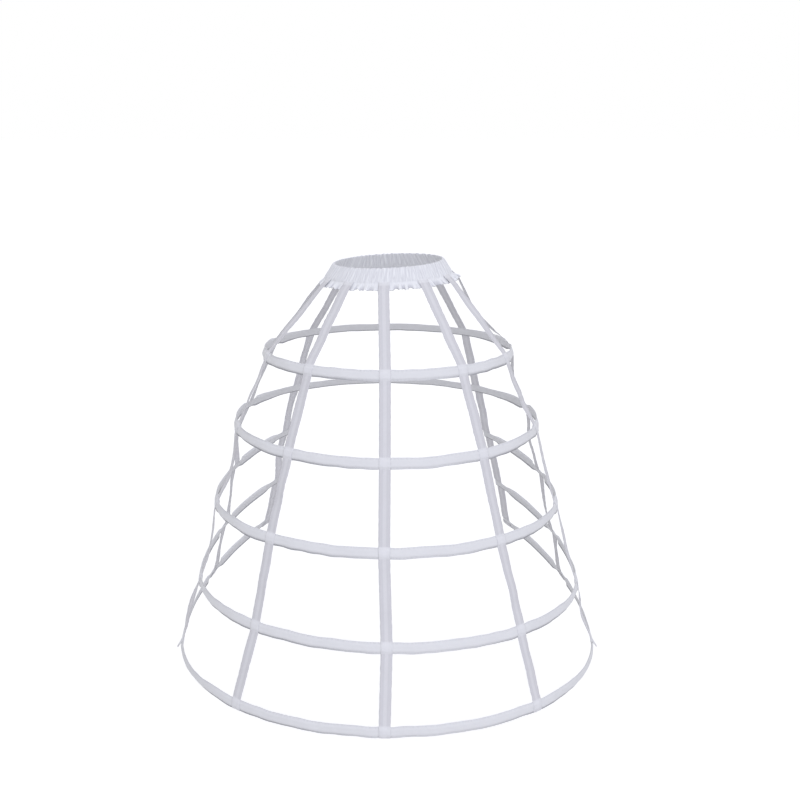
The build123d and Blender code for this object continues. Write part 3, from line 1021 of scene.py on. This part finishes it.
def set_surface(tree, shader, colour, height, strength, distance):
    """Joins a colour to the shader, and a height as bumps of that distance in metres."""
    tree.links.new(colour, shader.inputs["Base Color"])
    inputs = {"Height": height, "Strength": strength, "Distance": distance}
    tree.links.new(add_node(tree, "Bump", inputs).outputs[0], shader.inputs["Normal"])


# %% Patterns of cotton
cloud_size = 1 / 24
cloud_part = 0.22


def sine_of(tree, length, half_wave):
    """Sine of a length in metres, which rises for one half wave and falls for the next."""
    angle = add_node(tree, "Math", {0: length, 1: math.pi / half_wave}, operation="MULTIPLY")
    return add_node(tree, "Math", {0: angle.outputs[0]}, operation="SINE").outputs[0]


def cloth_lengths(tree):
    """The two lengths of the cloth's own map: along it and across it, in metres."""
    uv = add_node(tree, "UVMap", uv_map="cloth").outputs[0]
    return add_node(tree, "SeparateXYZ", {0: uv}).outputs[:2]


def weave_height(tree, thread):
    """Over-and-under of a plain weave: sine along times sine across, for a thread spacing in metres."""
    waves = [sine_of(tree, length, thread) for length in cloth_lengths(tree)]
    return add_node(tree, "Math", {0: waves[0], 1: waves[1]}, operation="MULTIPLY").outputs[0]


def cotton_colour(tree, light, shade, *layers):
    """Cotton's light colour, under soft clouds of shade about 40 mm across and then any other layers."""
    place = add_node(tree, "TexCoord").outputs["Object"]
    inputs = {"Vector": place, "Scale": 1 / cloud_size, "Detail": 3.0}
    cloud = add_node(tree, "TexNoise", inputs).outputs[0]
    part = add_node(tree, "Math", {0: cloud, 1: cloud_part}, operation="MULTIPLY").outputs[0]
    return layered(tree, linear(light), (part, shade), *layers)


def attribute_part(tree, name, amount):
    """An attribute of the mesh, from 0 to 1, times an amount."""
    value = add_node(tree, "Attribute", attribute_name=name).outputs["Fac"]
    return add_node(tree, "Math", {0: value, 1: amount}, operation="MULTIPLY").outputs[0]


# %% [markdown]
# ### Casing cotton
# Plain-woven cotton of about 24 threads to the centimetre. That is too fine to show, so the weave is drawn
# three times as coarse. The stitched grooves catch less light, which the attribute `hollow` marks with
# painted shade. The lower edge gets painted shade as well, least of all at the middle of the back, where the
# light falls straight on it; `under` marks it.

# %% Casing cotton
casing_thread = 0.0012


def casing_cotton():
    """Matt white, with painted shade in the stitched grooves and along the lower edge."""
    material, shader = new_finish("white_woven_cotton_casing", roughness=0.82, sheen=0.10)
    tree = material.node_tree
    # Both layers are painted shade: #CDCED3 in the stitched grooves and #8E8E94 along the lower edge.
    hollow = (attribute_part(tree, "hollow", 0.55), "#CDCED3")
    under = (attribute_part(tree, "under", 0.85), "#8E8E94")
    colour = cotton_colour(tree, "#E8E8EB", "#CDCED3", hollow, under)
    set_surface(tree, shader, colour, weave_height(tree, casing_thread), strength=0.35, distance=0.0003)
    return material


# %% [markdown]
# ### Herringbone tape
# Cotton tape is woven with its twill running one way, then the other, in stripes along its length. The
# twill lines are 0.9 mm apart, drawn at 1.8 mm. There are three stripes of 8 mm, and the light falls on the
# twill of the outer two so that they look darker, which the attribute `outer_stripe` draws. Where a tape is
# sewn down it is painted lighter, a painted brightening for the light that the white cloth under it sends
# back through the thin tape; `sewn` marks it.

# %% Tape cotton
twill_spacing = 0.0018


def tape_cotton():
    """Matt white with a zigzag of twill: the sine of the way along plus a fold of the way across."""
    material, shader = new_finish("white_herringbone_cotton_tape", roughness=0.80, sheen=0.10)
    tree = material.node_tree
    along, across = cloth_lengths(tree)
    zigzag = add_node(tree, "Math", {0: across, 1: tape_width / 6}, operation="PINGPONG")
    sloped = add_node(tree, "Math", {0: zigzag.outputs[0], 1: along}, operation="ADD")
    twill = sine_of(tree, sloped.outputs[0], twill_spacing / 2)
    outer = (attribute_part(tree, "outer_stripe", 0.7), "#D4D3D8")
    # Painted brightening where the tape is sewn down on the casing or the band.
    sewn = (attribute_part(tree, "sewn", 0.8), "#ECECF0")
    colour = cotton_colour(tree, "#E3E2E6", "#C8C8CD", outer, sewn)
    set_surface(tree, shader, colour, twill, strength=0.4, distance=0.0003)
    return material


# %% [markdown]
# ### Gathered cotton
# The band and the frill are one light lawn of 30 threads to the centimetre, drawn three times as coarse. Its
# valleys and the tucks under its ruffles are in shade from the mesh, and painted shade, darker and a little
# cooler, deepens it there.

# %% Gathered cotton
lawn_thread = 0.0010


def gathered_cotton():
    """Bright matt white, with painted shade in its valleys and tucks."""
    material, shader = new_finish("white_gathered_cotton_lawn", roughness=0.78, sheen=0.12)
    tree = material.node_tree
    # The valley layer, #C4C4CC, is painted shade in the gathers and under the ruffles.
    colour = cotton_colour(tree, "#F7F8FB", "#C4C4CC", (attribute_part(tree, "valley", 0.55), "#C4C4CC"))
    set_surface(tree, shader, colour, weave_height(tree, lawn_thread), strength=0.30, distance=0.0002)
    return material


# %% [markdown]
# ### Thread, elastic and steel
# The stitches are polyester thread, a touch brighter than the cloth. The elastic is knitted rubber with
# ribs along it. The sprung strips are steel with a white enamel coat, a little wavy every 4 mm. The sleeves
# and caps are bright steel, brushed along their length in lines drawn at 0.6 mm, coarser than real ones.

# %% Thread, elastic and steel
wave_texture_period = 0.31


def thread():
    """Smoother and brighter than the cloth, as spun polyester is."""
    material, shader = new_finish("white_polyester_thread", roughness=0.55, sheen=0.10)
    tree = material.node_tree
    tree.links.new(cotton_colour(tree, "#ECECEF", "#D8D9DD"), shader.inputs["Base Color"])
    return material


def banded_finish(name, light, shade, band, roughness, metallic, depth):
    """A finish with fine level ridges for ribs or brushing: band is their spacing, depth their height.

    A wave texture of scale 1 repeats every 0.31 m.
    """
    material, shader = new_finish(name, roughness, metallic=metallic)
    tree = material.node_tree
    place = add_node(tree, "TexCoord").outputs["Object"]
    inputs = {"Vector": place, "Scale": wave_texture_period / band, "Distortion": 1.5, "Detail": 2.0}
    wave = add_node(tree, "TexWave", inputs, bands_direction="Z").outputs["Fac"]
    colour = layered(tree, linear(light), (wave, shade))
    set_surface(tree, shader, colour, wave, strength=0.3, distance=depth)
    return material


# After its two colours a banded finish has its spacing, roughness, share of metal, and depth in metres.
finishes = {
    "casing": casing_cotton(),
    "tape": tape_cotton(),
    "gathered": gathered_cotton(),
    "thread": thread(),
    "elastic": banded_finish("knitted_white_elastic", "#E4E4E6", "#C9C9CD", 0.0016, 0.7, 0.0, 0.0003),
    "bone": banded_finish("white_enamelled_spring_steel", "#E2E3E6", "#D2D3D8", 0.004, 0.35, 0.0, 0.00005),
    "steel": banded_finish("brushed_bright_steel", "#B9BCC2", "#9EA1A8", 0.0006, 0.32, 1.0, 0.00003),
}
print("finishes:", ", ".join(material.name for material in finishes.values()))


# %% Put each finish on its pieces
def dress(piece, finish):
    """Gives a piece the material of the finish of that name."""
    piece.data.materials.clear()
    piece.data.materials.append(finishes[finish])


for piece in casings.values():
    dress(piece, "casing")
for piece in casing_stitches.values():
    dress(piece, "thread")
for piece, stitches in ribbons.values():
    dress(piece, "tape")
    dress(stitches, "thread")
dress(band, "gathered")
dress(band_stitches, "thread")
for name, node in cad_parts.items():
    if name.endswith("_bone"):
        dress(node, "bone")
    elif "sleeve" in name or "cap" in name:
        dress(node, "steel")
    elif name == "waistband_elastic":
        dress(node, "elastic")

# %% [markdown]
# ## Light, floor and camera
# One wide soft light comes from behind the camera, above it and a little to the right, as from a large
# window, and an even world fills the shadows. The camera sees the world and the floor as plain white, and
# the floor keeps the cage's faint shadow.

# %% World
world_strength = 0.60


def seen_directly(tree):
    """1 for a ray from the camera, off a glossy surface or through glass, and 0 for one that lights."""
    ray = add_node(tree, "LightPath").outputs
    seen = ray["Is Camera Ray"]
    for kind in ("Is Glossy Ray", "Is Transmission Ray"):
        seen = add_node(tree, "Math", {0: seen, 1: ray[kind]}, operation="MAXIMUM").outputs[0]
    return seen


world = bpy.data.worlds.new("pale_studio")
bpy.context.scene.world = world
world.use_nodes = True
tree = world.node_tree
tree.nodes.clear()
strength = add_node(tree, "MapRange", {0: seen_directly(tree), 3: world_strength, 4: 1.0})
sky = add_node(tree, "Background", {"Color": linear("#FFFFFF"), "Strength": strength.outputs[0]})
add_node(tree, "OutputWorld", {"Surface": sky.outputs[0]})
print("the world lights at", world_strength, "and shows as white")

# %% Floor
floor_glow = 0.41
floor_height = -1.06
floor_half = 400.0
floor_sides = ((-1, -1), (1, -1), (1, 1), (-1, 1))

mesh = bpy.data.meshes.new("studio_floor")
floor_corners = [(x * floor_half, y * floor_half, floor_height) for x, y in floor_sides]
mesh.from_pydata(floor_corners, [], [(0, 1, 2, 3)])
floor = bpy.data.objects.new("studio_floor", mesh)
collection.objects.link(floor)

paint, shader = new_finish("pale_floor_paint", roughness=0.95)
shader.inputs["Base Color"].default_value = linear("#E4E4E4")
tree = paint.node_tree
glow_part = {0: seen_directly(tree), 1: floor_glow}
glow_strength = add_node(tree, "Math", glow_part, operation="MULTIPLY").outputs[0]
glow = add_node(tree, "Emission", {"Color": linear("#FFFFFF"), "Strength": glow_strength})
both = add_node(tree, "AddShader", {0: shader.outputs[0], 1: glow.outputs[0]})
tree.links.new(both.outputs[0], tree.nodes["Material Output"].inputs["Surface"])
floor.data.materials.append(paint)

# %% Key light
key_strength = 1.30
key_height = 42.0
key_side = 12.0
key_spread = 50.0
key = bpy.data.lights.new("window_light", "SUN")
key.energy = key_strength
key.angle = math.radians(key_spread)
key.color = linear("#ECEFFF")[:3]
holder = bpy.data.objects.new("window_light", key)
collection.objects.link(holder)
holder.rotation_euler = (math.radians(90 - key_height), 0.0, math.radians(key_side))
print("window light stands", key_height, "degrees high and", key_side, "degrees to the right")

# %% Camera
photo_size = 800
focal_pixels = 1181.6
sensor = 36.0
eye_place = (-0.0057, -2.649, 0.2715)
eye_down = 12.59
eye_side = -0.68
camera = bpy.data.cameras.new("camera")
camera.sensor_width = sensor
camera.lens = focal_pixels / photo_size * sensor
camera.clip_end = 1000.0
eye = bpy.data.objects.new("camera", camera)
collection.objects.link(eye)
eye.location = eye_place
eye.rotation_euler = (math.radians(90 - eye_down), 0.0, math.radians(eye_side))
bpy.context.scene.camera = eye
bpy.context.scene.view_settings.view_transform = "Standard"
print("camera's lens is", round(camera.lens, 2), "mm, looking", eye_down, "degrees down")
